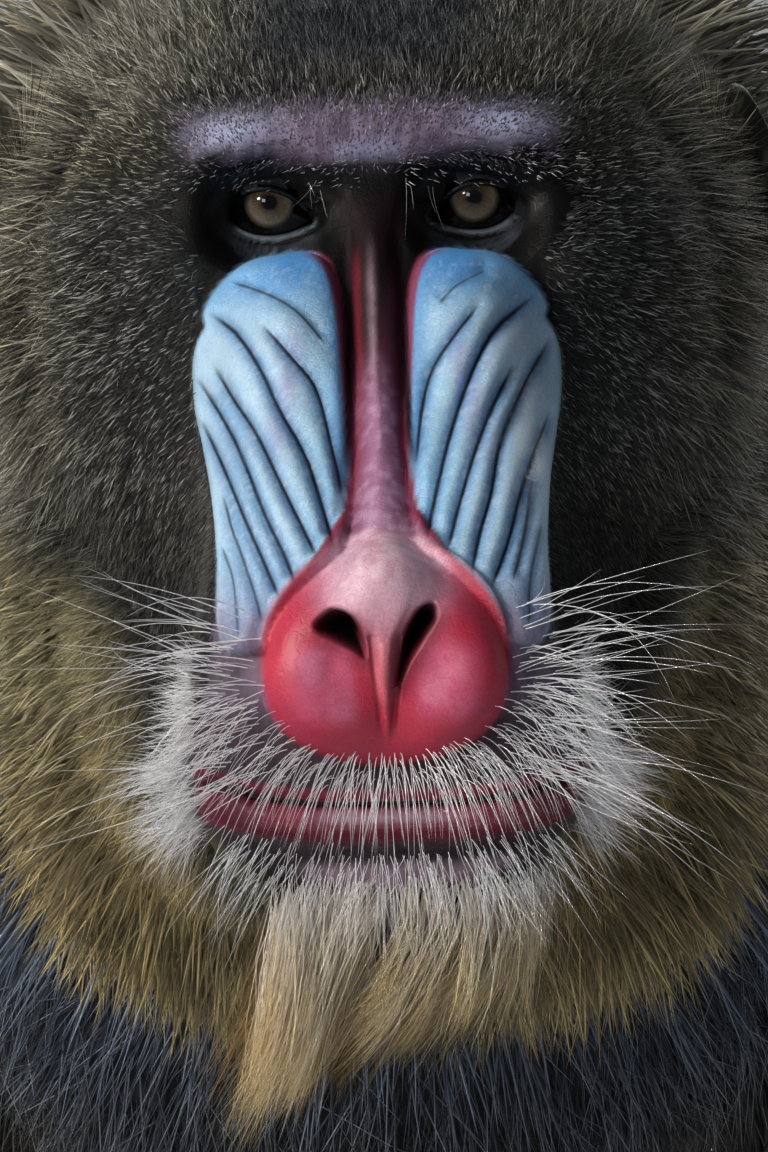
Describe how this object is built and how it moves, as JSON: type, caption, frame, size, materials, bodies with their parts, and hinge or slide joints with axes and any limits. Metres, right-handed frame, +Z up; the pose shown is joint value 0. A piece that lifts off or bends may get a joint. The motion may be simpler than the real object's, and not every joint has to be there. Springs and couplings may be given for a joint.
{
  "type": "mandrill",
  "caption": "Life-size adult male mandrill standing on all fours, face to the front, with ribbed blue cheeks, red nose, beard and ruff.",
  "frame": {"origin": "on the floor, under the middle of the body's box", "axes": "+Z up, -Y the way the animal faces, +X to the animal's left"},
  "size_m": [0.3249, 0.8644, 0.6366],
  "materials": {
    "head_coat": "dark olive-grey speckled hair over bare blue and red face skin",
    "mane_coat": "olive speckled hair",
    "chest_coat": "dark blue-grey hair",
    "back_coat": "olive-brown speckled hair",
    "limb_coat": "dark olive short hair",
    "hand_skin": "dark bare skin, matte",
    "ear_skin": "bare pink-grey skin, matte",
    "eye": "wet, glossy, amber iris with black pupil",
    "rump_skin": "bare lilac and pink skin, matte"
  },
  "bodies": {
    "root": {"chest": "chest_coat", "ear_left": "ear_skin", "ear_right": "ear_skin", "eye_left": "eye", "eye_right": "eye", "foot_left": "hand_skin", "foot_right": "hand_skin", "forearm_left": "limb_coat", "forearm_right": "limb_coat", "hand_left": "hand_skin", "hand_right": "hand_skin", "head": "head_coat", "hips": "back_coat", "neck": "mane_coat", "rump_pad_left": "rump_skin", "rump_pad_right": "rump_skin", "shin_left": "limb_coat", "shin_right": "limb_coat", "tail": "mane_coat", "thigh_left": "limb_coat", "thigh_right": "limb_coat", "upper_arm_left": "limb_coat", "upper_arm_right": "limb_coat"}
  },
  "joints": []
}
